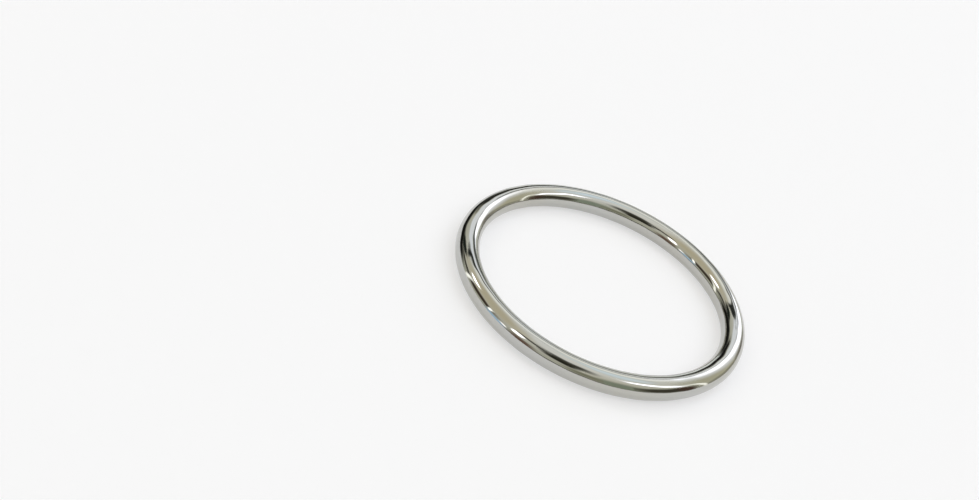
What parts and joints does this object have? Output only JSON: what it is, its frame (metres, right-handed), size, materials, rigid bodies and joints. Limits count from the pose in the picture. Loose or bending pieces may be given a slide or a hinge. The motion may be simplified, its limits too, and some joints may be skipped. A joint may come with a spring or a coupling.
{
  "type": "metal o-ring",
  "caption": "Closed round ring of solid round wire, polished and plated, for joining straps, cords, chains and snap hooks.",
  "frame": {"origin": "centre of the ring, on its axis and in the middle plane of the wire", "axes": "+Z along the ring's axis, so the ring lies flat in XY with its underside at minus half the wire's diameter"},
  "size_m": [0.0604, 0.0604, 0.0048],
  "materials": {
    "plated_wire": "polished"
  },
  "bodies": {
    "root": {"ring": "plated_wire"}
  },
  "joints": []
}
